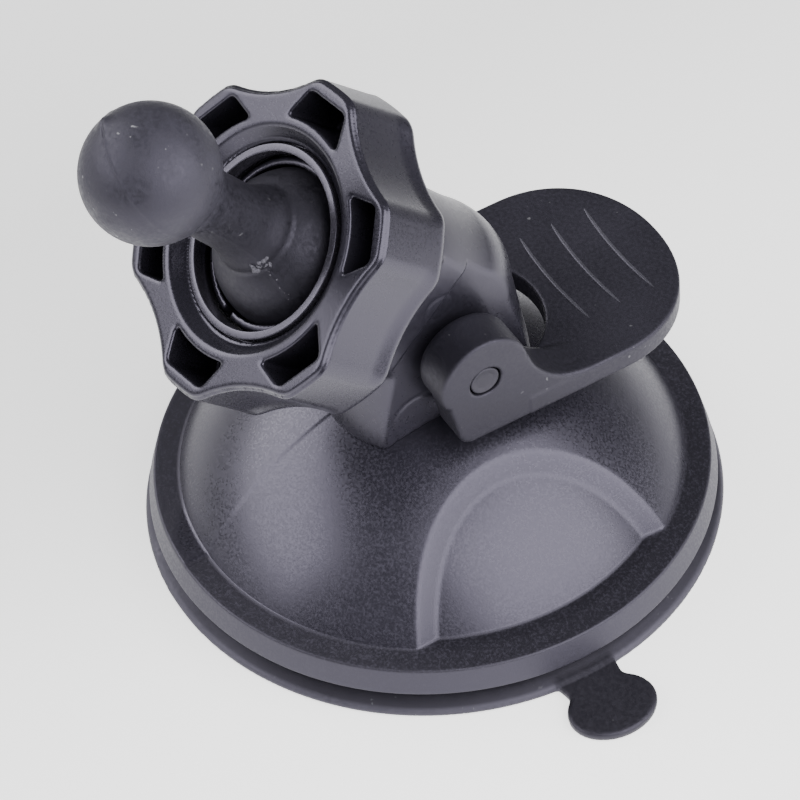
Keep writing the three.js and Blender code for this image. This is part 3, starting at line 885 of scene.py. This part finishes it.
def pad_field(x, y, z):
    """A hollow disc with a thin lip, and an oval pull tab on a short neck."""
    r = np.hypot(x, y)
    top, bottom = np.interp(r, *zip(*PAD_TOP)), np.interp(r, *zip(*PAD_BOTTOM))
    disc = smooth_max(z - top, bottom - z, 0.4)
    disc = smooth_max(disc, r - PAD_R, 0.7)
    oval = (np.hypot((x - TAB_X) / TAB_HALF_X, y / TAB_HALF_Y) - 1.0) * 5.2
    neck_half = np.interp(x, (37.0, 39.9), (4.1, 3.65))
    neck = np.maximum(np.abs(y) - neck_half, np.maximum(33.0 - x, x - TAB_X))
    tab = smooth_max(smooth_min(oval, neck, 0.8), np.abs(z - TAB_MIDDLE_Z) - TAB_HALF_Z, 0.45)
    return smooth_min(disc, tab, 0.3)


def make_pad():
    """The pad's surface, inside its CAD node's box, fixed in place."""
    low, high = (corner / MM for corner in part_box("suction_pad"))
    points, quads = surface_of(pad_field, low, high, 0.36)
    pad = make_piece("pad", points, quads, WORLD, None, [pad_look], ["suction_pad"])
    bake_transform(pad)


def make_spring():
    """Coils between the plunger's flange and the cover, filling the spring node's box, fixed in place."""
    low, high = (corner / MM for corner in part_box("return_spring"))
    steps, sides = 240, 10
    bottom, top = low.z + 0.62, high.z - 0.62
    points, faces = [], []
    for i in range(steps + 1):
        t = i / steps
        a = 2 * math.pi * COILS * t
        for k in range(sides):
            b = 2 * math.pi * k / sides
            r = COIL_R + WIRE_R * math.cos(b)
            z = bottom + (top - bottom) * t + WIRE_R * math.sin(b)
            points.append((r * math.cos(a), r * math.sin(a), z))
    for i in range(steps):
        for k in range(sides):
            a, b = i * sides + k, i * sides + (k + 1) % sides
            faces.append((a, a + sides, b + sides, b))
    faces.append(tuple(range(sides)))
    faces.append(tuple(range((steps + 1) * sides - 1, steps * sides - 1, -1)))
    look, node = [spring_look], "return_spring"
    spring = make_piece("spring", points, faces, WORLD, None, look, [node])
    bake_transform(spring)


def dress_plunger():
    """The plunger keeps its CAD shape, as it is hidden, and only gets a material."""
    plunger = frame["nodes"]["plunger"]
    plunger.data.materials.clear()
    plunger.data.materials.append(plunger_look)


make_cover()
make_neck()
make_nut()
make_ring()
make_stud()
make_crumbs()
make_lever()
make_grip_ribs()
make_pin()
make_pad()
make_spring()
dress_plunger()


# ---------------------------------------------------------------- studio

def make_floor():
    """A pale floor with painted light, like a light table: it glows under the object, more on the +X side,
    the glow fades far off, and its paint darkens far off as painted shade.
    """
    mesh = bpy.data.meshes.new("floor")
    half = 3.0
    corners = [(-half, -half, 0), (half, -half, 0), (half, half, 0), (-half, half, 0)]
    mesh.from_pydata(corners, [], [(0, 1, 2, 3)])
    floor = bpy.data.objects.new("floor", mesh)
    bpy.context.scene.collection.objects.link(floor)
    n = Nodes("floor_paint")
    far = n.add("ShaderNodeVectorMath", {0: n.place}, operation="LENGTH").outputs["Value"]
    # Paint that darkens far off: painted shade.
    paint = n.blend(n.remap(far, 0.2, 0.6, 0, 1), (0.5, 0.5, 0.5, 1.0), (0.25, 0.25, 0.25, 1.0))
    n.put(n.shader.inputs["Base Color"], paint)
    n.shader.inputs["Roughness"].default_value = 0.9
    n.shader.inputs["Specular IOR Level"].default_value = 0.1
    across = n.add("ShaderNodeSeparateXYZ", {0: n.place}).outputs[0]
    # The glow: a painted pool of light under the object, stronger towards +X.
    glow = n.maths("MULTIPLY", n.remap(across, -0.07, 0.06, 0.8, 2.0), n.remap(far, 0.18, 0.4, 1.0, 0.0))
    n.put(n.shader.inputs["Emission Strength"], glow)
    n.shader.inputs["Emission Color"].default_value = (1.0, 1.0, 1.0, 1.0)
    mesh.materials.append(n.material)


def soft_light(name, azimuth, elevation, distance, width, height, power):
    """A softbox that faces the object from that azimuth and elevation."""
    light = bpy.data.lights.new(name, "AREA")
    light.shape = "RECTANGLE"
    light.energy = power
    light.size = width
    light.size_y = height
    lamp = bpy.data.objects.new(name, light)
    bpy.context.scene.collection.objects.link(lamp)
    a, e = math.radians(azimuth), math.radians(elevation)
    back = Vector((math.sin(a) * math.cos(e), -math.cos(a) * math.cos(e), math.sin(e)))
    lamp.location = back * distance
    lamp.rotation_euler = (-back).to_track_quat("-Z", "Y").to_euler()


def make_sky():
    """Bright walls near the floor that fade to a darker ceiling."""
    world = bpy.data.worlds.new("studio")
    world.use_nodes = True
    tree = world.node_tree
    place = tree.nodes.new("ShaderNodeTexCoord").outputs["Generated"]
    split = tree.nodes.new("ShaderNodeSeparateXYZ")
    fade = tree.nodes.new("ShaderNodeMapRange")
    fade.inputs["From Min"].default_value = 0.0
    fade.inputs["From Max"].default_value = 0.2
    fade.inputs["To Min"].default_value = 0.28
    fade.inputs["To Max"].default_value = 0.2
    background = tree.nodes["Background"]
    background.inputs["Color"].default_value = (0.95, 0.96, 1.0, 1.0)
    tree.links.new(place, split.inputs[0])
    tree.links.new(split.outputs[2], fade.inputs["Value"])
    tree.links.new(fade.outputs["Result"], background.inputs["Strength"])
    bpy.context.scene.world = world


def make_studio():
    make_floor()
    soft_light("left_box", azimuth=-40, elevation=35, distance=1.2, width=1.8, height=0.75, power=25.0)
    soft_light("right_box", azimuth=116, elevation=39, distance=1.2, width=1.68, height=1.55, power=47.0)
    make_sky()


def make_camera():
    """The long-lens view from above the front right, turned slightly clockwise."""
    azimuth, elevation, roll = math.radians(62.57), math.radians(47.79), math.radians(-4.51)
    distance = 0.70215
    aim = Vector((-9.556, 1.043, 8.128)) * MM
    back = Vector((
        math.sin(azimuth) * math.cos(elevation),
        -math.cos(azimuth) * math.cos(elevation),
        math.sin(elevation),
    ))
    right = Vector((math.cos(azimuth), math.sin(azimuth), 0))
    up = back.cross(right)
    tilted = right * math.cos(roll) + up * math.sin(roll)
    upright = up * math.cos(roll) - right * math.sin(roll)
    lens = bpy.data.cameras.new("camera")
    lens.sensor_width = 36.0
    lens.lens = 246.37
    lens.clip_start = 0.05
    lens.clip_end = 20.0
    camera = bpy.data.objects.new("camera", lens)
    turn = Matrix((tilted, upright, back)).transposed().to_4x4()
    camera.matrix_world = Matrix.Translation(aim + back * distance) @ turn
    bpy.context.scene.collection.objects.link(camera)
    bpy.context.scene.camera = camera


make_studio()
make_camera()
